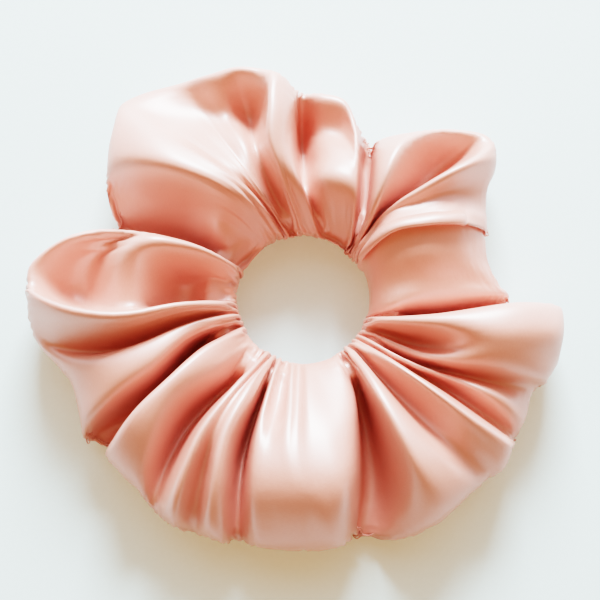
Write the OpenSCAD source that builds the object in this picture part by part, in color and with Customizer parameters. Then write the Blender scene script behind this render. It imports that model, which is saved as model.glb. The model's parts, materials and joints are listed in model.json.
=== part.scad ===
// Satin scrunchie: a gathered satin tube over a sewn elastic loop, lying flat.
// The ring is one continuous tube. It is drawn as a left and a right half, because the halves slide
// apart along X as the elastic stretches.
// Origin: centre of the footprint, on the surface the scrunchie lies on. +Z is up.

/* [Opening] */
// Diameter of the relaxed opening
opening_d = 28; // [24:0.5:34]
// Height of the gathered wall around the opening
opening_wall_h = 12; // [8:0.5:14]

/* [Satin cover] */
// Reach of the valleys between lobes, from the centre of the opening
valley_reach = 42; // [38:0.5:46]
// Height of the valleys between lobes
valley_h = 21; // [18:0.5:24]
// Thickness of the gathered layers of cloth
cover_wall = 1.2; // [0.8:0.1:1.6]

/* [Elastic band] */
// Middle radius of the elastic loop
elastic_r = 19.6; // [19:0.1:22]
// Width of the flat elastic, which stands on edge
elastic_w = 6; // [4:0.5:7]
// Thickness of the elastic
elastic_t = 1.2; // [0.8:0.1:1.4]
// Angle over which the two ends overlap where they are sewn
overlap_deg = 36; // [24:1:48]

/* [Sewing thread] */
// Thickness of the sewing thread
thread_d = 0.3; // [0.2:0.05:0.4]
// Angle between stitches of the long seam
stitch_deg = 3; // [2:0.5:6]

/* [Hidden] */

SATIN = [0.93, 0.62, 0.56];
ELASTIC = [0.95, 0.93, 0.90];
THREAD = [0.88, 0.50, 0.46];

// Each lobe of the gathered cover: [angle, reach from the opening's centre, height, half width in degrees]
LOBES = [
    [40, 53, 27, 24], [12, 48, 25, 22], [-14, 59, 27, 22], [-46, 60, 28, 26], [-70, 57, 26, 22],
    [-92, 58, 30, 24], [-115, 60, 28, 22], [-138, 58, 27, 24], [-160, 58, 26, 22], [178, 61, 29, 24],
    [140, 55, 30, 24], [108, 51, 30, 24], [84, 47, 29, 18]
];

opening_r = opening_d / 2;
// The lofted wall starts inside the opening and the bore trims it back to a true cylinder
trim = 0.6;
// Flat ledge left round each end of the bore, so that its wall has one height all the way round
ledge = 0.2;
wall_z0 = 3;
wall_z1 = wall_z0 + opening_wall_h;
// Height of the outer edge of the tube
edge_z = 10;
// The loft dips this far below the surface and is cut off flat there
dip = 0.5;
// Half the slit between the two halves, in degrees
slit = 0.2;
section_step = 5;
arc_points = 10;

left = [90 + slit, 270 - slit];
right = [-90 + slit, 90 - slit];

elastic_z = wall_z0 + opening_wall_h / 2 - elastic_w / 2;
// Gap between the overlapping layers of elastic
layer_gap = 0.05;
join_angle = 180;

// Where the long seam's stitches run, in from the outer edge of the tube
seam_inset = 3.6;
// Distance between the needle thread and the bobbin thread of a lockstitch
lockstitch_gap = 0.8;
// Share of each stitch's pitch that its thread covers
stitch_share = 0.8;
closing_seam_angle = 71;

function turn(a, b) = abs((a - b + 900) % 360 - 180);
function bump(a, lobe) = let (d = turn(a, lobe[0])) d < lobe[3] ? pow(cos(90 * d / lobe[3]), 2) : 0;
function reach(a) = valley_reach + max([for (l = LOBES) (l[1] - valley_reach) * bump(a, l)]);
function height(a) = valley_h + max([for (l = LOBES) (l[2] - valley_h) * bump(a, l)]);
function polar(r, a) = [r * cos(a), r * sin(a)];
function mix(a, b, t) = a + (b - a) * t;

// Angles of the sections that the tube is lofted through
function loft_angles(span) =
    let (steps = ceil((span[1] - span[0]) / section_step))
    [for (j = [0:steps]) mix(span[0], span[1], j / steps)];

// Middle of the footprint as seen from the opening's centre
outline = [for (a = concat(loft_angles(left), loft_angles(right))) polar(reach(a), a)];
xs = [for (p = outline) p[0]];
ys = [for (p = outline) p[1]];
middle = [(min(xs) + max(xs)) / 2, (min(ys) + max(ys)) / 2];

// Where the wall round the opening starts, and the height of its upper (side 1) or lower (side -1) end
function wall_r(inset) = inset > 0 ? opening_r + inset : opening_r - trim;
function wall_end(side, inset) = side > 0 ? wall_z1 - inset : wall_z0 + inset;

// One side of the tube's section from the ledge (t = 0) to the outer edge (t = 1), as [radius, z]
function skin_point(a, t, side, inset) =
    let (
        end = wall_end(side, inset),
        r = mix(wall_r(inset) + trim + ledge, reach(a) - inset, (1 - cos(180 * t)) / 2),
        crest = side > 0 ? height(a) : -dip,
        swell = crest - side * inset - mix(end, edge_z, 0.5)
    )
    [r, mix(end, edge_z, t) + swell * pow(sin(180 * t), 0.8)];

// Closed section of the tube at angle a: over the top to the outer edge, and back underneath
function section(a, inset) = concat(
    [[wall_r(inset), wall_end(1, inset)]],
    [for (i = [0:arc_points]) skin_point(a, i / arc_points, 1, inset)],
    [for (i = [arc_points - 1:-1:0]) skin_point(a, i / arc_points, -1, inset)],
    [[wall_r(inset), wall_end(-1, inset)]]
);

function around(points, a) = [for (p = points) [p[0] * cos(a), p[0] * sin(a), p[1]]];

// Triangles between ring j and ring j + 1 of a loft whose rings have n points, from index base on
function strip(n, base, j, flip) = [
    for (i = [0:n - 1])
        let (
            k = (i + 1) % n,
            p = base + j * n + i,
            q = base + j * n + k,
            r = base + (j + 1) * n + k,
            s = base + (j + 1) * n + i
        )
        each flip ? [[p, q, r], [p, r, s]] : [[p, r, q], [p, s, r]]
];

// Hollow loft of the tube between two angles, closed by a rim at each end
module tube_loft(span) {
    angles = loft_angles(span);
    steps = len(angles) - 1;
    outer = [for (a = angles) each around(section(a, 0), a)];
    inner = [for (a = angles) each around(section(a, cover_wall), a)];
    n = len(section(span[0], 0));
    m = len(outer);
    last = steps * n;
    rims = [
        for (i = [0:n - 1])
            let (k = (i + 1) % n)
            each [
                [i, k, m + k], [i, m + k, m + i],
                [last + i, m + last + k, last + k], [last + i, m + last + i, m + last + k]
            ]
    ];
    polyhedron(
        concat(outer, inner),
        concat(
            [for (j = [0:steps - 1]) each strip(n, 0, j, false)],
            [for (j = [0:steps - 1]) each strip(n, m, j, true)],
            rims
        ),
        convexity = 8
    );
}

// Moves a shape drawn around the opening's centre into the part's frame
module in_frame() {
    translate([-middle[0], -middle[1], 0]) children();
}

module satin_cover(span) {
    color(SATIN) in_frame() difference() {
        tube_loft(span);
        translate([0, 0, -1]) cylinder(r = opening_r, h = valley_h + 20, $fn = 128);
        translate([-100, -100, -10]) cube([200, 200, 10]);
    }
}

// Arc of the flat elastic, standing on edge
module elastic_arc(r, a0, a1) {
    rotate(a0) rotate_extrude(angle = a1 - a0, $fn = 128)
        translate([r - elastic_t / 2, elastic_z]) square([elastic_t, elastic_w]);
}

// The end that laps over the other one runs outside it and comes back in beyond the overlap
module lapping_end(a0, a1) {
    lap = elastic_t + layer_gap;
    settle_deg = 24;
    steps = 40;
    angles = [for (j = [0:steps]) mix(a0, a1, j / steps)];
    function lift(a) =
        let (t = min(1, max(0, (a - a0 - overlap_deg) / settle_deg))) lap * (1 - t * t * (3 - 2 * t));
    function ring(a) =
        let (r = elastic_r - elastic_t / 2 + lift(a))
        around(
            [[r, elastic_z], [r + elastic_t, elastic_z],
             [r + elastic_t, elastic_z + elastic_w], [r, elastic_z + elastic_w]],
            a
        );
    polyhedron(
        [for (a = angles) each ring(a)],
        concat(
            [for (j = [0:steps - 1]) each strip(4, 0, j, true)],
            [[3, 2, 1, 0]],
            [[for (i = [0:3]) 4 * steps + i]]
        ),
        convexity = 4
    );
}

module elastic_band_left() {
    color(ELASTIC) in_frame() {
        elastic_arc(elastic_r, left[0], join_angle + overlap_deg / 2);
        lapping_end(join_angle - overlap_deg / 2, left[1]);
    }
}

module elastic_band_right() {
    color(ELASTIC) in_frame() elastic_arc(elastic_r, right[0], right[1]);
}

// One stitch: a straight length of thread from p to q
module stitch(p, q) {
    d = q - p;
    l = norm(d);
    translate(p) rotate([0, acos(d[2] / l), atan2(d[1], d[0])])
        cylinder(d = thread_d, h = l, $fn = 16);
}

// Stitches between neighbouring points of a path, with a small gap after each
module stitches(path) {
    for (i = [0:len(path) - 2]) {
        stitch(path[i], mix(path[i], path[i + 1], stitch_share));
    }
}

// The long seam runs round the tube's outer edge, on the inside of the cloth
module long_seam_thread(span, offset_z) {
    count = floor((span[1] - span[0] - 2) / stitch_deg);
    path = [
        for (j = [0:count])
            let (a = span[0] + 1 + j * stitch_deg, r = reach(a) - seam_inset)
            [r * cos(a), r * sin(a), edge_z + offset_z]
    ];
    color(THREAD) in_frame() stitches(path);
}

// The closing seam runs once round the tube's section, just inside the cloth
module closing_seam_thread(inset) {
    ring = section(closing_seam_angle, inset);
    color(THREAD) in_frame() stitches(around(concat(ring, [ring[0]]), closing_seam_angle));
}

// Zigzag across the overlap of the elastic, on the face at radius r
module elastic_join_thread(r) {
    zigzag_h = elastic_w - 2;
    passes = 10;
    sewn_deg = overlap_deg - 12;
    path = [
        for (j = [0:passes])
            let (a = join_angle - sewn_deg / 2 + sewn_deg * j / passes)
            [r * cos(a), r * sin(a), elastic_z + 1 + zigzag_h * (j % 2)]
    ];
    color(THREAD) in_frame() stitches(path);
}

outer_face = elastic_r + 1.5 * elastic_t + layer_gap;
inner_face = elastic_r - elastic_t / 2;
face_gap = thread_d / 2 + 0.2;

satin_cover(left);  // satin_cover_left
satin_cover(right);  // satin_cover_right
elastic_band_left();
elastic_band_right();
long_seam_thread(left, lockstitch_gap / 2);  // long_seam_needle_thread_left
long_seam_thread(right, lockstitch_gap / 2);  // long_seam_needle_thread_right
long_seam_thread(left, -lockstitch_gap / 2);  // long_seam_bobbin_thread_left
long_seam_thread(right, -lockstitch_gap / 2);  // long_seam_bobbin_thread_right
closing_seam_thread(cover_wall + 0.4);  // closing_seam_needle_thread
closing_seam_thread(cover_wall + 0.4 + lockstitch_gap);  // closing_seam_bobbin_thread
elastic_join_thread(outer_face + face_gap);  // elastic_join_needle_thread
elastic_join_thread(inner_face - face_gap);  // elastic_join_bobbin_thread
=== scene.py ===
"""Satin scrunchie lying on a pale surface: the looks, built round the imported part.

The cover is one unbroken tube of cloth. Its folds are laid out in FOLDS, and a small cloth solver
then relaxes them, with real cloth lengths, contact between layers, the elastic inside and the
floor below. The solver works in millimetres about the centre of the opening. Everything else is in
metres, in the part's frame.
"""
import json
import math

import bpy
import numpy as np
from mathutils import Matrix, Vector


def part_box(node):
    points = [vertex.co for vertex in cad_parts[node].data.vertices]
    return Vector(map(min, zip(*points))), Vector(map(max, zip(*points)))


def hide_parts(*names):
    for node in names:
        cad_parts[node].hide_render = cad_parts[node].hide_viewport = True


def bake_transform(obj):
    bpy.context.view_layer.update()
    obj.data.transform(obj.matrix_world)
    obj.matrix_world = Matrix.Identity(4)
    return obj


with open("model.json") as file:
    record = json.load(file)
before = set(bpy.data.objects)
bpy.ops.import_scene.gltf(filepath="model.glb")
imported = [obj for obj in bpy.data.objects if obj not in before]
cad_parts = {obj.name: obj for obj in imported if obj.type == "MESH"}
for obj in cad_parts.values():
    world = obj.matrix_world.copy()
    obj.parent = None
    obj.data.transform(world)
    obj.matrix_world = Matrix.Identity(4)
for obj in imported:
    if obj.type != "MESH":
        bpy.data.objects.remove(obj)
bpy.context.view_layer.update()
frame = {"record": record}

MM = 0.001

# ------------------------------------------------ sizes, from the frame where it has them
opening = next(m for m in frame["record"]["mounts"] if m["name"] == "hair_opening")
CENTRE = Vector((opening["pos_m"][0], opening["pos_m"][1], 0))
OPENING_R = opening["dims"]["r_mm"]

band_low, band_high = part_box("elastic_band_right")
ELASTIC_T = 1.2
ELASTIC_R = (band_high.x - CENTRE.x) / MM - ELASTIC_T / 2
ELASTIC_Z0, ELASTIC_Z1 = band_low.z / MM, band_high.z / MM
# The elastic's ends overlap by OVERLAP_DEG of the ring, centred on JOIN_DEG
OVERLAP_DEG = 36
JOIN_DEG = 180
# The upper layer of the overlap steps out by LAP over a ramp of LAP_RAMP_DEG
LAP = ELASTIC_T + 0.05
LAP_RAMP_DEG = 24
RIBS = 9
RIB_DEPTH = 0.12

# The cloth, as it is between its seam allowances: along the ring, and once round the tube
CLOTH_LENGTH = 560.0
CLOTH_GIRTH = 96.0
CLOTH_THICKNESS = 0.25
# Grids of the two passes of the solver: columns along the ring, points round the tube
COARSE = (240, 48)
FINE = (480, 96)

# The innermost line of the tube, and the height that the cloth rises to over the elastic
RIM_R = OPENING_R + 1.0
RIM_Z = 9.0
BAND_TOP = ELASTIC_Z1 + 1.2

# ------------------------------------------------ the folds
# Ridges, valleys and faces of the gathered cloth, anticlockwise from the right. Each runs from the
# opening's rim to the outer edge. Its angle and its height are given at the rim, a quarter, half and
# three quarters of the way out, and at the outer edge.
# name, reach from the opening's centre, height of the outer edge, angles, heights
FOLDS = [
    ("E under", 46, 5, (-14, -7, -3, 0, 2), (13, 15, 13, 11, 8)),
    ("E low", 44, 7, (2, 3, 4, 4, 4), (15, 15, 14, 12, 10)),
    ("E face", 42, 9, (20, 18, 16, 14, 12), (17, 18, 18, 16, 12)),
    ("E band", 44, 11, (35, 36, 31, 27, 24), (18, 20, 20, 19, 15)),
    ("E crest", 43, 10, (31, 31, 26, 22, 19), (19, 22, 22, 21, 15)),
    ("E flank", 47, 11, (38, 41, 36, 33, 29), (17, 18, 18, 17, 14)),
    ("DE ridge", 53, 12, (39, 43, 40, 37, 35), (16, 17, 20, 23, 19)),
    ("D dish", 55, 11, (40, 45, 44, 42, 41), (15, 11, 8, 9, 19)),
    ("D dish top", 51, 12, (40, 46, 48, 48, 47), (14, 14, 12, 10, 20)),
    ("D crest", 44, 12, (41, 47, 52, 55, 56), (10, 20, 24, 24, 21)),
    ("D side", 40, 9, (42, 49, 56, 61, 64), (8, 17, 20, 19, 15)),
    ("CD crease", 39, 4, (44, 51, 58, 63, 66), (8, 5, 4, 4, 5)),
    ("C root", 40, 4, (46, 54, 61, 66, 69), (8, 5, 4, 4, 6)),
    ("C right", 41, 10, (48, 58, 65, 70, 73), (6, 20, 21, 19, 17)),
    ("C middle", 45, 12, (54, 65, 72, 76, 78), (5, 24, 20, 13, 21)),
    ("C left", 46, 12, (64, 79, 83, 85, 84), (5, 23, 16, 11, 20)),
    ("C pocket", 46, 12, (74, 87, 90, 91, 90), (7, 12, 6, 6, 18)),
    ("W right", 46, 16, (80, 92, 95, 94, 92), (9, 19, 20, 21, 20)),
    ("W ridge", 49, 19, (90, 99, 102, 100, 96), (9, 20, 25, 27, 25)),
    ("W left", 51, 19, (95, 102, 105, 102, 101), (8, 18, 21, 16, 24)),
    ("curl", 53, 18, (99, 107, 108, 106, 107), (6, 13, 16, 8, 24)),
    ("curl left", 54, 15, (102, 112, 112, 112, 113), (7, 17, 18, 12, 22)),
    ("A top", 57, 9, (105, 115, 118, 119, 120), (8, 20, 17, 12, 14)),
    ("A back", 61, 8, (107, 120, 126, 129, 132), (9, 22, 19, 14, 14)),
    ("A crest", 58, 14, (111, 122, 130, 134, 137), (12, 24, 23, 20, 16)),
    ("A shoulder", 53, 13, (118, 127, 135, 141, 146), (11, 24, 25, 23, 18)),
    ("A face", 50, 11, (130, 138, 143, 147, 151), (8, 16, 13, 11, 8)),
    ("A low", 46, 6, (147, 150, 151, 153, 156), (6, 12, 7, 6, 5)),
    ("A foot", 45, 3, (152, 153, 153, 155, 157), (9, 4, 4, 4, 4)),
    ("B root", 46, 4, (156, 155, 156, 158, 160), (9, 4, 4, 4, 5)),
    ("B top", 49, 10, (160, 159, 160, 162, 163), (18, 20, 19, 18, 16)),
    ("B dish top", 54, 12, (168, 166, 165, 166, 167), (12, 16, 25, 13, 22)),
    ("B dish", 59, 13, (174, 171, 171, 171, 172), (14, 3, 25, 7, 21)),
    ("B dish low", 61, 13, (180, 178, 178, 178, 175), (13, 3, 21, 4, 20)),
    ("B ridge back", 61, 13, (185, 184, 186, 183, 178), (14, 5, 17, 6, 20)),
    ("B ridge", 61, 12, (190, 189, 191, 187, 181), (19, 22, 25, 26, 22)),
    ("B ridge foot", 60, 8, (196, 196, 198, 195, 189), (15, 14, 12, 10, 11)),
    ("B ledge top", 55, 8, (199, 198, 200, 200, 199), (16, 17, 18, 18, 15)),
    ("B ledge", 55, 8, (201, 201, 206, 206, 205), (15, 17, 19, 19, 15)),
    ("B low", 57, 6, (202, 203, 209, 210, 211), (14, 15, 17, 17, 14)),
    ("B foot", 56, 3, (204, 204, 212, 213, 213), (8, 4, 3, 3, 3)),
    ("L root", 54, 3, (206, 207, 213, 216, 217), (8, 4, 4, 4, 5)),
    ("L ridge", 56, 10, (211, 213, 216, 218, 221), (13, 19, 22, 23, 18)),
    ("L face", 56, 9, (219, 223, 222, 225, 229), (11, 17, 20, 21, 17)),
    ("LK valley", 57, 8, (235, 230, 228, 231, 235), (11, 6, 5, 8, 11)),
    ("K ridge", 58, 10, (239, 236, 235, 238, 241), (12, 18, 21, 22, 19)),
    ("KJ crease", 57, 6, (241, 239, 239, 242, 245), (11, 18, 19, 14, 12)),
    ("J ridge", 57, 10, (243, 243, 243, 246, 249), (12, 19, 22, 22, 18)),
    ("J right", 57, 10, (245, 246, 246, 249, 252), (12, 17, 19, 19, 16)),
    ("JI crease", 55, 6, (248, 248, 249, 252, 255), (9, 7, 6, 8, 9)),
    ("I pleat left", 56, 10, (250, 252, 253, 256, 260), (11, 16, 19, 20, 15)),
    ("I pleat", 56, 10, (256, 257, 258, 261, 265), (8, 12, 20, 22, 16)),
    ("I pleat right", 56, 10, (261, 263, 264, 267, 270), (12, 17, 22, 24, 17)),
    ("I crease", 56, 10, (266, 267, 267, 270, 272), (10, 16, 22, 25, 17)),
    ("I crest", 56, 11, (272, 272, 273, 275, 277), (12, 18, 23, 26, 19)),
    ("I right", 55, 10, (281, 281, 280, 280, 280), (12, 17, 22, 25, 17)),
    ("I side", 53, 8, (297, 295, 289, 285, 282), (12, 14, 17, 18, 12)),
    ("I foot", 53, 3, (302, 298, 293, 288, 283), (8, 4, 4, 4, 4)),
    ("H root", 54, 3, (305, 301, 296, 292, 286), (8, 4, 4, 4, 5)),
    ("H face", 57, 6, (307, 302, 298, 295, 291), (11, 11, 11, 11, 10)),
    ("H ridge", 58, 10, (309, 304, 302, 301, 301), (12, 19, 22, 22, 17)),
    ("G pale", 57, 10, (311, 308, 307, 307, 309), (12, 18, 20, 20, 16)),
    ("G hollow", 57, 8, (313, 312, 312, 313, 315), (12, 11, 12, 15, 13)),
    ("G face", 58, 10, (315, 316, 317, 318, 319), (15, 16, 17, 18, 15)),
    ("G ridge", 57, 11, (318, 319, 320, 321, 323), (13, 19, 22, 21, 17)),
    ("FG valley", 56, 6, (321, 322, 326, 326, 326), (11, 14, 8, 10, 10)),
    ("FG ridge", 56, 8, (323, 324, 328, 330, 330), (12, 17, 14, 17, 12)),
    ("F crease", 55, 5, (326, 326, 331, 334, 338), (8, 6, 10, 12, 11)),
    ("F low", 57, 9, (329, 330, 333, 338, 341), (12, 17, 17, 18, 16)),
    ("F hollow", 58, 9, (332, 335, 338, 342, 345), (14, 4, 19, 21, 17)),
    ("F crest", 58, 13, (335, 340, 344, 348, 351), (17, 21, 23, 23, 19)),
    ("F top", 57, 10, (338, 345, 351, 355, 357), (18, 19, 20, 20, 16)),
    ("F root", 50, 3, (340, 348, 353, 357, 359), (9, 5, 4, 4, 5)),
    ("E foot", 46, 3, (342, 350, 354, 358, 360), (9, 4, 4, 4, 4)),
]
# Least length of cloth between neighbouring fold lines
MIN_FOLD_GAP = 2.5
# Range of heights over which the tops of the folds are rounded, and by how much (1 for not at all)
FOLD_LOW, FOLD_HIGH = 4.0, 29.0
ROUNDNESS = 1.6
# Stations of a fold, from the rim (0) to the outer edge (4), that the distance to the next fold is
# measured at, and the share of each in it
STATION_WEIGHTS = ((2, 0.3), (3, 0.4), (4, 0.3))
# How full the tube's section is between its edges (1 for an oval, 0 for a box)
SECTION_POWER = 0.6
# The hump over the elastic: half its width, then the rounding where it meets a fold: how high it is,
# and how fast it fades
HUMP_WIDTH = 4.5
HUMP_BLEND, HUMP_FADE = 0.8, 1.5
# Height of the underside below a fold that is UNDER_TOP high, and its lift for each millimetre less
UNDER_Z, UNDER_LIFT, UNDER_TOP = 0.6, 0.12, 25
# Least height of the underside, and least room between it and the top
UNDER_LEAST, UNDER_ROOM = 0.5, 3
# Fold line that the closing seam lies on
CLOSING_SEAM_FOLD = "CD crease"
# Points of the fine grid from the rim, over the top, to the long seam just under the outer edge
LONG_SEAM_ROW = 50


def cubic(knots, values, at):
    """Catmull-Rom curve through values at knots, read at the places in at."""
    i = np.clip(np.searchsorted(knots, at, side="right") - 1, 1, len(knots) - 3)
    t0, t1, t2, t3 = knots[i - 1], knots[i], knots[i + 1], knots[i + 2]
    v0, v1, v2, v3 = values[i - 1], values[i], values[i + 1], values[i + 2]
    step = t2 - t1
    slope1 = (v2 - v0) / (t2 - t0) * step
    slope2 = (v3 - v1) / (t3 - t1) * step
    s = (at - t1) / step
    return (
        (2 * s**3 - 3 * s**2 + 1) * v1
        + (s**3 - 2 * s**2 + s) * slope1
        + (3 * s**2 - 2 * s**3) * v2
        + (s**3 - s**2) * slope2
    )


def round_the_ring(knots, values, period, at, turn=0.0):
    """The same curve for values that repeat after period, and gain turn each time."""
    knots = np.concatenate([knots[-2:] - period, knots, knots[:3] + period])
    values = np.concatenate([values[-2:] - turn, values, values[:3] + turn])
    return cubic(knots, values, at)


def across_the_fold(values, at):
    """The same curve for the five values of one fold, from the rim (0) to the outer edge (1)."""
    knots = np.linspace(-0.25, 1.25, 7)
    before = 2 * values[0] - values[1]
    after = 2 * values[-1] - values[-2]
    return cubic(knots, np.concatenate([[before], values, [after]]), at)


def rounded_crest(height):
    """Heights with the tops of the folds made rounder and the valleys narrower."""
    span = FOLD_HIGH - FOLD_LOW
    t = np.clip((height - FOLD_LOW) / span, 0, 1)
    return np.where(height > FOLD_LOW, FOLD_LOW + span * (1 - (1 - t) ** ROUNDNESS), height)


def fold_table():
    """The folds as arrays, and the place of each along the cloth, from how far apart they are."""
    reach = np.array([f[1] for f in FOLDS], float)
    edge = np.array([f[2] for f in FOLDS], float)
    angle = np.unwrap(np.array([f[3] for f in FOLDS], float), axis=0, period=360)
    height = np.array([f[4] for f in FOLDS], float)
    gap = np.zeros(len(FOLDS))
    for station, weight in STATION_WEIGHTS:
        r = RIM_R + (reach - RIM_R) * station / 4
        a = np.radians(angle[:, station])
        p = np.stack([r * np.cos(a), r * np.sin(a), height[:, station]], 1)
        gap += weight * np.linalg.norm(np.roll(p, -1, 0) - p, axis=1)
    gap = np.maximum(gap, MIN_FOLD_GAP)
    place = np.concatenate([[0], np.cumsum(gap)[:-1]])
    return reach, edge, angle, height, place, gap.sum()


def folded_tube(columns, points):
    """The tube of cloth as FOLDS lays it out, as an array of columns by points by xyz."""
    reach, edge, angle, height, place, total = fold_table()
    at = np.arange(columns) / columns * total
    reach = round_the_ring(place, reach, total, at)
    edge = round_the_ring(place, edge, total, at)
    angle = np.stack([round_the_ring(place, angle[:, s], total, at, 360) for s in range(5)], 1)
    height = np.stack([round_the_ring(place, height[:, s], total, at) for s in range(5)], 1)
    turn = 2 * np.pi * np.arange(points) / points
    out = (1 - np.cos(turn)) / 2
    swell = np.abs(np.sin(turn)) ** SECTION_POWER
    top = np.sin(turn) >= 0
    tube = np.zeros((columns, points, 3))
    for i in range(columns):
        r = RIM_R + (reach[i] - RIM_R) * out
        a = np.radians(across_the_fold(angle[i], out))
        over = rounded_crest(across_the_fold(height[i], out))
        middle = RIM_Z + (edge[i] - RIM_Z) * out
        # Every crease rises over the elastic
        hump = BAND_TOP * np.exp(-(((r - ELASTIC_R) / HUMP_WIDTH) ** 4))
        over = np.where(over > hump, over, hump) + HUMP_BLEND * np.exp(-np.abs(over - hump) / HUMP_FADE)
        # The underside lifts a little under each valley
        under = np.clip(
            UNDER_Z + UNDER_LIFT * (UNDER_TOP - over),
            UNDER_LEAST,
            np.maximum(over - UNDER_ROOM, UNDER_LEAST),
        )
        tube[i, :, 0] = r * np.cos(a)
        tube[i, :, 1] = r * np.sin(a)
        tube[i, :, 2] = middle + (np.where(top, over, under) - middle) * swell
    return tube


# ------------------------------------------------ the cloth solver
# How far the cloth's own lengths follow the layout in FOLDS, which hides small tucks, the limits of
# that as shares of an even spread, and how much longer than in the layout all of it is
DESIGN_SHARE = 0.9
REST_LOW, REST_HIGH = 0.35, 1.25
FULLNESS = 1.03
# Share of the length along the ring that shows at the rim, and how far from the rim all of it shows
BUNCH_LEAST = 0.4
BUNCH_REACH = 16
# Pull back to the layout, of the coarse pass, the fine pass and the last steps, and how much more
# there is at the start of the coarse pass
HOLD = (0.35, 0.18, 0.10)
HOLD_AT_START = 0.1
# Steps of the coarse pass, the fine pass and the last ones, and the rounds in each step
STEPS = (50, 30, 8)
ROUNDS = 4
# Least distance between layers of cloth, in the coarse pass and in the fine one
GAPS = (1.4, 0.9)
# The air inside the tube, the weight of the cloth, and the share of a point's speed that it keeps
PRESSURE = 0.008
GRAVITY_STEP = 0.01
SPEED_KEPT = 0.88
# Stiffness of the links on the slant, and stiffness in bending, over two steps of the grid and four
SHEAR = 0.55
BEND = (0.12, 0.04)
# The underside, as shares of the way round the tube, the width of its edges, and how free it is
UNDERSIDE = (0.56, 0.97)
UNDERSIDE_EDGE = 0.08
UNDERSIDE_FREE = 0.8
# Least height of the cloth over the floor, and how far it keeps out of the opening
FLOOR_GAP = 0.2
CLEARANCE = 0.4
# Room between the cloth and the middle of the elastic, and the part of the tube that lines the opening
BAND_ROOM = 1.8
WALL_SHARE = 0.07
# Contact: steps between searches for pairs of points, how near in space and how far apart in the cloth
# a pair is (in gaps), the share of an overlap that a round undoes, and the largest move (in gaps)
SEARCH_EVERY = 6
PAIR_NEAR, PAIR_APART = 1.6, 1.7
UNDO_SHARE = 0.25
LARGEST_MOVE = 0.3
# Cloth bunches along the ring, so distances in it that way count for less
ALONG_SHARE = 0.8
# Smoothing of ripples: a step to the mean of the neighbours, and a longer one back
SMOOTHING = (0.35, -0.36)

HALF_OF_THE_CELLS_ROUND = [(0, 0, 0)] + [
    (dx, dy, dz)
    for dz in (0, 1)
    for dy in (-1, 0, 1)
    for dx in (-1, 0, 1)
    if dz or dy > 0 or (dy == 0 and dx > 0)
]


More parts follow.
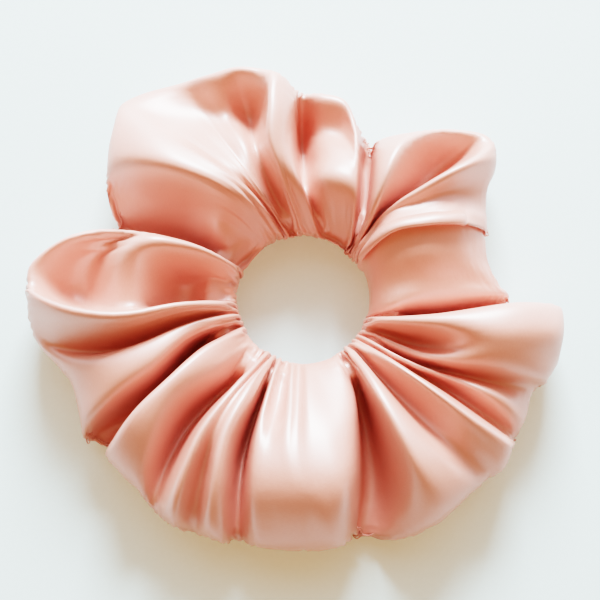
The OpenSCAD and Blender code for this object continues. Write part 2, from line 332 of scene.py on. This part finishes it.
class Cloth:
    """A grid of points round the ring and round the tube, joined by links that keep their lengths.

    It is moved by position-based steps.
    """

    def __init__(self, tube, design, bend, bend_wide):
        self.columns, self.points = tube.shape[:2]
        self.x = tube.reshape(-1, 3).astype(np.float32)
        self.before = self.x.copy()
        self.design = design.reshape(-1, 3).astype(np.float32)
        self.step_u = CLOTH_LENGTH / self.columns
        self.step_v = CLOTH_GIRTH / self.points
        self.links = self.make_links([(1, 0, 1.0), (0, 1, 1.0), (1, 1, SHEAR), (1, -1, SHEAR)])
        self.bends = self.make_links(
            [(2, 0, bend), (0, 2, bend), (4, 0, bend_wide), (0, 4, bend_wide)]
        )
        self.pairs = (np.zeros(0, int), np.zeros(0, int))
        v = np.tile(np.arange(self.points) / self.points, self.columns)
        self.on_top = v < 0.5
        self.at_wall = np.minimum(v, 1 - v) < WALL_SHARE
        self.held = self.shown_side(v * self.points)[:, None].astype(np.float32)

    def make_links(self, kinds):
        """Links from each point to the one (du, dv) away, in two sets a kind that share no point."""
        u, v = np.meshgrid(np.arange(self.columns), np.arange(self.points), indexing="ij")
        bunched = bunching(np.arange(self.points) / self.points)
        made = []
        for du, dv, stiffness in kinds:
            a = u * self.points + v
            b = (u + du) % self.columns * self.points + (v + dv) % self.points
            shrink = 0.5 * (bunched[v] + bunched[(v + dv) % self.points])
            even = np.sqrt((du * self.step_u * shrink) ** 2 + (dv * self.step_v) ** 2)
            drawn = np.linalg.norm(self.design[a] - self.design[b], axis=2)
            shown = 0.5 * (self.shown_side(v) + self.shown_side((v + dv) % self.points))
            shaped = np.clip(drawn, REST_LOW * even, REST_HIGH * even)
            rest = even + DESIGN_SHARE * shown * (shaped - even)
            half = (u // du % 2) if du else (v // dv % 2)
            for side in (0, 1):
                m = half == side
                length = (FULLNESS * rest[m]).astype(np.float32)
                made.append((a[m], b[m], length, np.float32(stiffness / 2)))
        return made

    def shown_side(self, v):
        """1 where the cloth is drawn by FOLDS, and less on the underside, which buckles as it likes."""
        v = v / self.points
        past_start = np.clip((v - UNDERSIDE[0]) / UNDERSIDE_EDGE, 0, 1)
        before_end = np.clip((UNDERSIDE[1] - v) / UNDERSIDE_EDGE, 0, 1)
        return 1 - UNDERSIDE_FREE * (past_start * before_end)

    def pull(self, links):
        """Moves the two ends of each link towards its own length."""
        for a, b, rest, stiffness in links:
            xa, xb = self.x[a], self.x[b]
            d = xb - xa
            length = np.sqrt(np.einsum("ij,ij->i", d, d)) + 1e-9
            d *= (stiffness * (1 - rest / length))[:, None]
            self.x[a] = xa + d
            self.x[b] = xb - d

    def normals(self):
        grid = self.x.reshape(self.columns, self.points, 3)
        return grid_normals(grid).reshape(-1, 3)

    def find_pairs(self, radius, apart):
        """Points that are nearer than radius in space and further than apart in the cloth."""
        x = self.x
        cell = np.floor((x - x.min(0)) / radius).astype(np.int64) + 1
        size = cell.max(0) + 2
        key = (cell[:, 0] * size[1] + cell[:, 1]) * size[2] + cell[:, 2]
        order = np.argsort(key, kind="stable")
        key = key[order]
        n = len(x)
        found_a, found_b = [], []
        for dx, dy, dz in HALF_OF_THE_CELLS_ROUND:
            shift = (dx * size[1] + dy) * size[2] + dz
            first = np.searchsorted(key, key + shift, "left") if shift else np.arange(n) + 1
            count = np.maximum(np.searchsorted(key, key + shift, "right") - first, 0)
            total = int(count.sum())
            run = np.arange(total) - np.repeat(np.cumsum(count) - count, count)
            a = order[np.repeat(np.arange(n), count)]
            b = order[np.repeat(first, count) + run]
            d = x[a] - x[b]
            near = np.einsum("ij,ij->i", d, d) < radius * radius
            a, b = a[near], b[near]
            du = np.abs(a // self.points - b // self.points)
            dv = np.abs(a % self.points - b % self.points)
            du = np.minimum(du, self.columns - du) * self.step_u * ALONG_SHARE
            dv = np.minimum(dv, self.points - dv) * self.step_v
            far = du * du + dv * dv > apart * apart
            found_a.append(a[far])
            found_b.append(b[far])
        self.pairs = (np.concatenate(found_a), np.concatenate(found_b))

    def push_apart(self, gap):
        """Moves the points of each pair apart where they are nearer than gap."""
        a, b = self.pairs
        d = self.x[b] - self.x[a]
        square = np.einsum("ij,ij->i", d, d)
        close = square < gap * gap
        a, b, d = a[close], b[close], d[close]
        length = np.sqrt(square[close]) + 1e-6
        d *= (UNDO_SHARE * (gap - length) / length)[:, None]
        n = len(self.x)
        contacts = np.bincount(a, minlength=n) + np.bincount(b, minlength=n)
        share = 1 / np.sqrt(np.maximum(contacts, 1))
        for k in range(3):
            ahead = np.bincount(b, weights=d[:, k], minlength=n)
            back = np.bincount(a, weights=d[:, k], minlength=n)
            self.x[:, k] += (ahead - back) * share

    def keep_clear(self):
        """Above the floor, out of the opening, and off the elastic."""
        x = self.x
        np.maximum(x[:, 2], FLOOR_GAP, out=x[:, 2])
        r = np.hypot(x[:, 0], x[:, 1])
        inside = r < OPENING_R + CLEARANCE
        x[inside, :2] *= ((OPENING_R + CLEARANCE) / np.maximum(r[inside], 1e-3))[:, None]
        r = np.hypot(x[:, 0], x[:, 1])
        wall = self.at_wall & (r > ELASTIC_R - BAND_ROOM)
        x[wall, :2] *= ((ELASTIC_R - BAND_ROOM) / r[wall])[:, None]
        across = (np.abs(r - ELASTIC_R) < BAND_ROOM) & ~self.at_wall
        over, under = across & self.on_top, across & ~self.on_top
        x[over, 2] = np.maximum(x[over, 2], ELASTIC_Z1 + BAND_ROOM / 2)
        x[under, 2] = np.minimum(x[under, 2], ELASTIC_Z0 - BAND_ROOM / 2)

    def relax(self, steps, gap, hold):
        """Steps of the solver. hold(t) is the pull back to the design, for t from 0 to 1."""
        for s in range(steps):
            if s % SEARCH_EVERY == 0:
                self.find_pairs(gap * PAIR_NEAR, gap * PAIR_APART)
            move = (self.x - self.before) * SPEED_KEPT
            size = np.sqrt(np.einsum("ij,ij->i", move, move))
            move *= np.minimum(1, gap * LARGEST_MOVE / (size + 1e-9))[:, None]
            move[:, 2] -= GRAVITY_STEP
            move += self.normals() * PRESSURE
            self.before = self.x.copy()
            self.x += move
            pull = hold(s / max(steps - 1, 1))
            for _ in range(ROUNDS):
                if pull:
                    self.x += (self.design - self.x) * (self.held * np.float32(pull))
                self.pull(self.bends)
                self.pull(self.links)
                self.push_apart(gap)
                self.keep_clear()


def bunching(v):
    """Share of the cloth's length along the ring that shows at v: the finest tucks are at the rim."""
    t = np.clip(np.minimum(v, 1 - v) * CLOTH_GIRTH / BUNCH_REACH, 0, 1)
    return BUNCH_LEAST + (1 - BUNCH_LEAST) * t * t * (3 - 2 * t)


def grid_normals(grid):
    """Outward normals of a tube that is given as a grid of points."""
    along = np.roll(grid, -1, 0) - np.roll(grid, 1, 0)
    around = np.roll(grid, -1, 1) - np.roll(grid, 1, 1)
    n = np.cross(around, along)
    return n / (np.linalg.norm(n, axis=2, keepdims=True) + 1e-9)


def finer(grid):
    """Twice the points each way, on a smooth curve through the old ones."""
    for axis in (0, 1):
        between = (
            9 * (grid + np.roll(grid, -1, axis)) - np.roll(grid, 1, axis) - np.roll(grid, -2, axis)
        ) / 16
        grid = np.stack([grid, between], axis + 1).reshape(
            [n * (2 if k == axis else 1) for k, n in enumerate(grid.shape)]
        )
    return grid


def smoothed(grid, rounds):
    """Takes out ripples of one grid step, without shrinking the folds."""
    for _ in range(rounds):
        for weight in SMOOTHING:
            mean = sum(np.roll(grid, s, axis) for axis in (0, 1) for s in (1, -1)) / 4
            grid = grid + weight * (mean - grid)
    return grid


def relaxed_tube():
    """The tube after a pass on a coarse grid, then one on a fine grid."""
    design = folded_tube(*COARSE)
    coarse = Cloth(design, design, *BEND)
    coarse.relax(STEPS[0], GAPS[0], lambda t: HOLD[0] + HOLD_AT_START * (1 - t) ** 3)
    start = finer(coarse.x.reshape(*COARSE, 3))
    fine = Cloth(start, folded_tube(*FINE), *BEND)
    fine.relax(STEPS[1], GAPS[1], lambda t: HOLD[1])
    fine.relax(STEPS[2], GAPS[1], lambda t: HOLD[2])
    return smoothed(fine.x.reshape(*FINE, 3), 2)


# ------------------------------------------------ seams
# Depth and half width of the groove along the long seam, and across the closing seam (in columns)
LONG_GROOVE, LONG_GROOVE_WIDTH = 0.45, 0.8
CLOSING_GROOVE, CLOSING_GROOVE_COLUMNS = 0.5, 0.9
# Puckers beside the long seam: depth, how far out they reach, and the length, share and phase of each
PUCKER_DEPTH, PUCKER_REACH = 0.28, 3.0
PUCKERS = ((5.3, 0.6, 0.0), (8.1, 0.4, 1.0))
LEAST_CLOTH_Z = 0.1
# Lockstitch: length, points along each stitch, radius of the thread, how far inside the cloth the
# seam runs, how far each thread arches from it, and the least height of a thread
STITCH = 2.5
STITCH_POINTS = 6
THREAD_R = 0.13
SEAM_DEPTH = 1.0
ARCH = 0.3
LEAST_THREAD_Z = 0.3


def seamed(grid):
    """The tube with its seams drawn in: a groove along each, and small puckers beside the long one."""
    normal = grid_normals(grid)
    rows = np.arange(FINE[1])
    columns = np.arange(FINE[0])
    depth = np.zeros(FINE)
    off = (rows - LONG_SEAM_ROW)[None, :] * CLOTH_GIRTH / FINE[1]
    u = columns[:, None] * CLOTH_LENGTH / FINE[0]
    depth += LONG_GROOVE * np.exp(-((off / LONG_GROOVE_WIDTH) ** 2))
    pucker = sum(share * np.sin(u * 2 * np.pi / length + phase) for length, share, phase in PUCKERS)
    depth += PUCKER_DEPTH * pucker * np.exp(-((off / PUCKER_REACH) ** 2))
    off = (columns - closing_column() + FINE[0] / 2) % FINE[0] - FINE[0] / 2
    depth += CLOSING_GROOVE * np.exp(-((off / CLOSING_GROOVE_COLUMNS) ** 2))[:, None]
    grid = grid - normal * depth[:, :, None]
    grid[:, :, 2] = np.maximum(grid[:, :, 2], LEAST_CLOTH_Z)
    return grid


def closing_column():
    """The column of the fine grid that the closing seam lies on."""
    names = [f[0] for f in FOLDS]
    place, total = fold_table()[4:]
    return int(round(place[names.index(CLOSING_SEAM_FOLD)] / total * FINE[0]))


# ------------------------------------------------ meshes
def mesh_object(name, verts, faces, material, uvs=None):
    """A smooth-shaded object, with a UV for each corner of each face when uvs are given."""
    mesh = bpy.data.meshes.new(name)
    mesh.from_pydata([tuple(v) for v in verts], [], [tuple(f) for f in faces])
    mesh.polygons.foreach_set("use_smooth", [True] * len(mesh.polygons))
    if uvs is not None:
        layer = mesh.uv_layers.new(name="ClothUV")
        layer.data.foreach_set("uv", np.asarray(uvs, np.float32).reshape(-1))
    mesh.materials.append(material)
    mesh.update()
    obj = bpy.data.objects.new(name, mesh)
    bpy.context.scene.collection.objects.link(obj)
    return obj


def ring_faces(rings, sides, closed):
    """Quads, and their UVs, between neighbouring rings of points. A closed run meets its own start."""
    i, j = np.meshgrid(np.arange(rings if closed else rings - 1), np.arange(sides), indexing="ij")
    i, j = i.ravel(), j.ravel()
    corners = [(0, 0), (0, 1), (1, 1), (1, 0)]
    faces = np.stack([(i + a) % rings * sides + (j + b) % sides for a, b in corners], 1)
    uvs = np.stack([np.stack([(i + a) / rings, (j + b) / sides], 1) for a, b in corners], 1)
    return faces, uvs


def end_faces(rings, sides):
    """The two faces that close an open run of rings."""
    last = (rings - 1) * sides
    return [tuple(range(sides))[::-1], tuple(last + k for k in range(sides))]


def tube_along(name, line, radius, material, closed, sides=6):
    """A round thread along a line of points."""
    line = np.asarray(line, float)
    if closed:
        ahead = np.roll(line, -1, 0) - np.roll(line, 1, 0)
    else:
        ahead = np.gradient(line, axis=0)
    ahead /= np.linalg.norm(ahead, axis=1, keepdims=True) + 1e-12
    side = np.zeros_like(line)
    # The first side is square to the thread and to an axis that the thread doesn't run along
    upright = abs(ahead[0][2]) >= 0.9
    side[0] = np.cross(ahead[0], (1, 0, 0) if upright else (0, 0, 1))
    for k in range(1, len(line)):
        side[k] = side[k - 1] - ahead[k] * side[k - 1].dot(ahead[k])
        side[k] /= np.linalg.norm(side[k]) + 1e-12
    side[0] /= np.linalg.norm(side[0])
    up = np.cross(ahead, side)
    turn = (2 * np.pi * np.arange(sides) / sides)[None, :, None]
    rings = line[:, None] + radius * (np.cos(turn) * side[:, None] + np.sin(turn) * up[:, None])
    faces, uvs = ring_faces(len(line), sides, closed)
    if not closed:
        faces, uvs = list(faces) + end_faces(len(line), sides), None
    return mesh_object(name, rings.reshape(-1, 3), faces, material, uvs)


def in_frame(points_mm):
    """Points in millimetres about the opening's centre, as metres in the part's frame."""
    return np.asarray(points_mm) * MM + np.array(CENTRE)


# ------------------------------------------------ materials
def new_material(name):
    """An empty material, its node tree, and the shader at its end."""
    material = bpy.data.materials.new(name)
    material.use_nodes = True
    tree = material.node_tree
    tree.nodes.clear()
    shader = tree.nodes.new("ShaderNodeBsdfPrincipled")
    out = tree.nodes.new("ShaderNodeOutputMaterial")
    tree.links.new(shader.outputs["BSDF"], out.inputs["Surface"])
    return material, tree, shader


def scaled_cloth_uv(tree, scale):
    """The piece's own UVs, which run along the ring and round its section, scaled up."""
    uv = tree.nodes.new("ShaderNodeUVMap")
    uv.uv_map = "ClothUV"
    mapping = tree.nodes.new("ShaderNodeMapping")
    mapping.inputs["Scale"].default_value = (*scale, 1)
    tree.links.new(uv.outputs["UV"], mapping.inputs["Vector"])
    return mapping.outputs["Vector"]


def noise(tree, vector, scale, detail):
    """Noise between 0 and 1 at the places in vector."""
    texture = tree.nodes.new("ShaderNodeTexNoise")
    texture.inputs["Scale"].default_value = scale
    texture.inputs["Detail"].default_value = detail
    tree.links.new(vector, texture.inputs["Vector"])
    return texture.outputs["Fac"]


def fine_noise(tree, scale):
    """Noise over the whole object, in metres."""
    where = tree.nodes.new("ShaderNodeTexCoord")
    return noise(tree, where.outputs["Object"], scale, detail=2.0)


def bump(tree, height, strength, distance, over=None):
    """A normal raised by height, on top of the normal in over."""
    raised = tree.nodes.new("ShaderNodeBump")
    raised.inputs["Strength"].default_value = strength
    raised.inputs["Distance"].default_value = distance
    tree.links.new(height, raised.inputs["Height"])
    if over is not None:
        tree.links.new(over, raised.inputs["Normal"])
    return raised.outputs["Normal"]


def two_tone(tree, value, dark, light):
    """A colour between dark and light, by a value from 0 to 1."""
    ramp = tree.nodes.new("ShaderNodeValToRGB")
    ramp.color_ramp.elements[0].color = (*dark, 1)
    ramp.color_ramp.elements[1].color = (*light, 1)
    tree.links.new(value, ramp.inputs["Fac"])
    return ramp.outputs["Color"]


def satin_material():
    """Satin: fine streaks of the weave, slack patches that bend the gloss, and a long sheen across."""
    streak_size = (0.9, 0.12)
    slack_size = (9, 6)
    dark, light = (0.76, 0.335, 0.278), (0.81, 0.385, 0.323)
    material, tree, shader = new_material("satin")
    node, link = tree.nodes.new, tree.links.new
    cloth = (CLOTH_LENGTH, CLOTH_GIRTH)
    weave_uv = scaled_cloth_uv(tree, [c / size for c, size in zip(cloth, streak_size)])
    streaks = noise(tree, weave_uv, scale=1.0, detail=2.0)
    slack_uv = scaled_cloth_uv(tree, [c / size for c, size in zip(cloth, slack_size)])
    slack = noise(tree, slack_uv, scale=1.0, detail=3.0)
    tint = node("ShaderNodeMapRange")
    tint.inputs["From Min"].default_value = 0.3
    tint.inputs["From Max"].default_value = 0.7
    link(streaks, tint.inputs["Value"])
    colour = node("ShaderNodeMix")
    colour.data_type = "RGBA"
    colour.inputs["A"].default_value = (*dark, 1)
    colour.inputs["B"].default_value = (*light, 1)
    link(tint.outputs["Result"], colour.inputs["Factor"])
    link(colour.outputs["Result"], shader.inputs["Base Color"])
    rough = node("ShaderNodeMapRange")
    rough.inputs["To Min"].default_value = 0.46
    rough.inputs["To Max"].default_value = 0.56
    link(slack, rough.inputs["Value"])
    link(rough.outputs["Result"], shader.inputs["Roughness"])
    normal = bump(tree, slack, strength=0.25, distance=0.0008)
    normal = bump(tree, streaks, strength=0.15, distance=0.00008, over=normal)
    link(normal, shader.inputs["Normal"])
    tangent = node("ShaderNodeTangent")
    tangent.direction_type = "UV_MAP"
    tangent.uv_map = "ClothUV"
    link(tangent.outputs["Tangent"], shader.inputs["Tangent"])
    shader.inputs["IOR"].default_value = 1.5
    shader.inputs["Anisotropic"].default_value = 0.5
    shader.inputs["Anisotropic Rotation"].default_value = 0.25
    shader.inputs["Coat Weight"].default_value = 0.9
    shader.inputs["Coat Roughness"].default_value = 0.40
    shader.inputs["Coat IOR"].default_value = 2.05
    return material


def braid_material():
    cells = (90, 12)
    light, dark = (0.86, 0.84, 0.80), (0.72, 0.70, 0.66)
    material, tree, shader = new_material("braided elastic")
    braid = tree.nodes.new("ShaderNodeTexChecker")
    braid.inputs["Scale"].default_value = 1.0
    braid.inputs["Color1"].default_value = (*light, 1)
    braid.inputs["Color2"].default_value = (*dark, 1)
    tree.links.new(scaled_cloth_uv(tree, cells), braid.inputs["Vector"])
    tree.links.new(braid.outputs["Color"], shader.inputs["Base Color"])
    normal = bump(tree, braid.outputs["Fac"], strength=0.4, distance=0.0002)
    tree.links.new(normal, shader.inputs["Normal"])
    shader.inputs["Roughness"].default_value = 0.8
    return material


def thread_material():
    dark, light = (0.62, 0.27, 0.23), (0.80, 0.42, 0.36)
    material, tree, shader = new_material("sewing thread")
    twist = fine_noise(tree, scale=4000)
    tree.links.new(two_tone(tree, twist, dark, light), shader.inputs["Base Color"])
    normal = bump(tree, twist, strength=0.3, distance=0.00005)
    tree.links.new(normal, shader.inputs["Normal"])
    shader.inputs["Roughness"].default_value = 0.5
    shader.inputs["Sheen Weight"].default_value = 0.2
    return material


def floor_material():
    """A pale surface that glows a little, warmly, so that the shadows on it turn warm."""
    dark, light = (0.49, 0.745, 0.80), (0.53, 0.785, 0.84)
    material, tree, shader = new_material("pale floor")
    grain = fine_noise(tree, scale=900)
    tree.links.new(two_tone(tree, grain, dark, light), shader.inputs["Base Color"])
    shader.inputs["Roughness"].default_value = 0.6
    shader.inputs["Emission Color"].default_value = (1.0, 0.62, 0.38, 1)
    shader.inputs["Emission Strength"].default_value = 0.20
    return material


def stretches(obj, slot, *nodes):
    """Bakes obj's placement into its mesh, and hides the CAD nodes that it stands for. slot is not
    used.
    """
    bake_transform(obj)
    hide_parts(*nodes)


def make_cover(grid, material):
    """The tube of cloth, with a real thickness on its inner side."""
    faces, uvs = ring_faces(*FINE, closed=True)
    cover = mesh_object("satin_cover", in_frame(grid.reshape(-1, 3)), faces, material, uvs)
    wall = cover.modifiers.new("cloth thickness", "SOLIDIFY")
    wall.thickness = CLOTH_THICKNESS * MM
    wall.offset = -1
    wall.use_rim = False
    stretches(cover, "satin", "satin_cover_left", "satin_cover_right")
    return cover


def make_elastic(material):
    """Flat ribbed elastic standing on edge, once round, with its ends overlapped."""
    steps = 260
    start, end = JOIN_DEG - OVERLAP_DEG / 2, JOIN_DEG + 360 + OVERLAP_DEG / 2
    a = np.linspace(start, end, steps)
    lap = np.clip((a - (end - OVERLAP_DEG - LAP_RAMP_DEG)) / LAP_RAMP_DEG, 0, 1)
    lap = lap * lap * (3 - 2 * lap) * LAP
    up = np.linspace(0, 1, RIBS * 4 + 1)
    half = ELASTIC_T / 2 - RIB_DEPTH + RIB_DEPTH * np.abs(np.sin(up * RIBS * np.pi))
    # Once round the section: up the inside, down the outside
    section_z = ELASTIC_Z0 + (ELASTIC_Z1 - ELASTIC_Z0) * np.concatenate([up, up[::-1]])
    section_r = np.concatenate([-half, half[::-1]])
    r = ELASTIC_R + lap[:, None] + section_r[None, :]
    z = np.broadcast_to(section_z, r.shape)
    rad = np.radians(a)[:, None]
    points = np.stack([r * np.cos(rad), r * np.sin(rad), z], 2)
    sides = len(section_z)
    faces, uvs = ring_faces(steps, sides, closed=False)
    faces = list(faces) + end_faces(steps, sides)
    uvs = np.concatenate([uvs.reshape(-1, 2), np.zeros((2 * sides, 2))])
    band = mesh_object("elastic_band", in_frame(points.reshape(-1, 3)), faces, material, uvs)
    stretches(band, "elastic", "elastic_band_left", "elastic_band_right")


def seam_threads(name, line, normal, length, material, halves=("",)):
    """Needle and bobbin thread of a lockstitched seam, length long, on the inside of the cloth."""
    count = int(length / STITCH) * STITCH_POINTS
    inward = -resampled(normal, count)
    arch = ARCH * np.sqrt(np.abs(np.sin(np.arange(count) / STITCH_POINTS * np.pi)))[:, None]
    for which, side in (("needle", -1), ("bobbin", 1)):
        path = resampled(line, count) + inward * (SEAM_DEPTH + side * arch)
        path[:, 2] = np.maximum(path[:, 2], LEAST_THREAD_Z)
        piece = f"{name}_{which}_thread"
        thread = tube_along(piece, in_frame(path), THREAD_R * MM, material, closed=True)
        stretches(thread, "thread", *(piece + half for half in halves))


def resampled(line, count):
    """A closed line with count points, evenly spaced by index."""
    n = len(line)
    at = np.arange(count) * n / count
    low = np.floor(at).astype(int)
    t = (at - low)[:, None]
    return line[low % n] * (1 - t) + line[(low + 1) % n] * t


def make_cover_seams(grid, material):
    """The seam that closes the strip into a tube, and the one that joins the tube's ends."""
    normal = grid_normals(grid)
    row, column = LONG_SEAM_ROW, closing_column()
    halves = ("_left", "_right")
    seam_threads("long_seam", grid[:, row], normal[:, row], CLOTH_LENGTH, material, halves)
    seam_threads("closing_seam", grid[column], normal[column], CLOTH_GIRTH, material)


def make_elastic_join(material):
    """Zigzag stitches through the two layers of elastic where they overlap."""
    # The threads lie on the two outer faces, and stop short of the overlap's ends and of its edges
    on_face = ELASTIC_T / 2 + 0.15
    faces = (("needle", ELASTIC_R + LAP + on_face), ("bobbin", ELASTIC_R - on_face))
    sewn = OVERLAP_DEG - 12
    margin = 1
    passes = 10
    t = np.linspace(0, passes, passes * STITCH_POINTS + 1)
    a = np.radians(JOIN_DEG - sewn / 2 + sewn * t / passes)
    zigzag = np.abs((t + 1) % 2 - 1)
    z = ELASTIC_Z0 + margin + (ELASTIC_Z1 - ELASTIC_Z0 - 2 * margin) * zigzag
    for which, r in faces:
        line = np.stack([r * np.cos(a), r * np.sin(a), z], 1)
        piece = f"elastic_join_{which}_thread"
        thread = tube_along(piece, in_frame(line), THREAD_R * MM, material, closed=False)
        stretches(thread, "thread", piece)


# ------------------------------------------------ stage, lights and camera
def aim(obj, target):
    """Turns a light or a camera to look at target."""
    obj.rotation_euler = (Vector(target) - obj.location).to_track_quat("-Z", "Y").to_euler()


def make_floor(material):
    """The surface that the scrunchie lies on, in the part's frame at z = 0."""
    half = 1.6
    corners = [(-half, -half, 0), (half, -half, 0), (half, half, 0), (-half, half, 0)]
    floor = mesh_object("floor", corners, [(0, 1, 2, 3)], material)


def soft_light(name, place, size, watts, colour):
    """A rectangular light aimed at the part."""
    light = bpy.data.lights.new(name, "AREA")
    light.shape = "RECTANGLE"
    light.size, light.size_y = size
    light.energy = watts
    light.color = colour
    obj = bpy.data.objects.new(name, light)
    bpy.context.scene.collection.objects.link(obj)
    obj.location = place
    aim(obj, (0, 0, 0))


def make_sky():
    """A bright, cool room on the window's side, towards +Y, and a dim, warm one on the other."""
    warm, cool = (0.49, 0.265, 0.14), (1.05, 1.13, 1.18)
    world = bpy.data.worlds.new("studio")
    bpy.context.scene.world = world
    world.use_nodes = True
    tree = world.node_tree
    node, link = tree.nodes.new, tree.links.new
    where = node("ShaderNodeTexCoord")
    split = node("ShaderNodeSeparateXYZ")
    link(where.outputs["Generated"], split.inputs["Vector"])
    side = node("ShaderNodeMapRange")
    side.interpolation_type = "SMOOTHSTEP"
    side.inputs["From Min"].default_value = 0.08
    side.inputs["From Max"].default_value = 0.5
    link(split.outputs["Y"], side.inputs["Value"])
    mix = node("ShaderNodeMix")
    mix.data_type = "RGBA"
    mix.inputs["A"].default_value = (*warm, 1)
    mix.inputs["B"].default_value = (*cool, 1)
    link(side.outputs["Result"], mix.inputs["Factor"])
    link(mix.outputs["Result"], tree.nodes["Background"].inputs["Color"])
    tree.nodes["Background"].inputs["Strength"].default_value = 0.85


def make_lights():
    soft_light(
        "window", place=(0.05, 0.86, 0.58), size=(0.42, 0.34), watts=23, colour=(0.92, 0.97, 1.0)
    )
    make_sky()
    view = bpy.context.scene.view_settings
    view.view_transform = "Filmic"
    view.look = "Very High Contrast"
    view.exposure = 0.3


def make_camera():
    """Nearly overhead, seen from the front, and aimed a little beside the opening's centre."""
    elevation = math.radians(78)
    distance = 0.40
    frame_width = 0.1335
    target = CENTRE + Vector((-0.0007, -0.0005, 0.010))
    camera = bpy.data.cameras.new("camera")
    camera.sensor_width = 36
    camera.lens = camera.sensor_width * distance / frame_width
    camera.clip_start = 0.01
    obj = bpy.data.objects.new("camera", camera)
    bpy.context.scene.collection.objects.link(obj)
    obj.location = target + distance * Vector((0, -math.cos(elevation), math.sin(elevation)))
    aim(obj, target)
    bpy.context.scene.camera = obj


# ------------------------------------------------ put together
make_camera()
make_floor(floor_material())
make_lights()

tube = relaxed_tube()
tube = seamed(tube)
thread = thread_material()
cover = make_cover(tube, satin_material())
make_elastic(braid_material())
make_cover_seams(tube, thread)
make_elastic_join(thread)
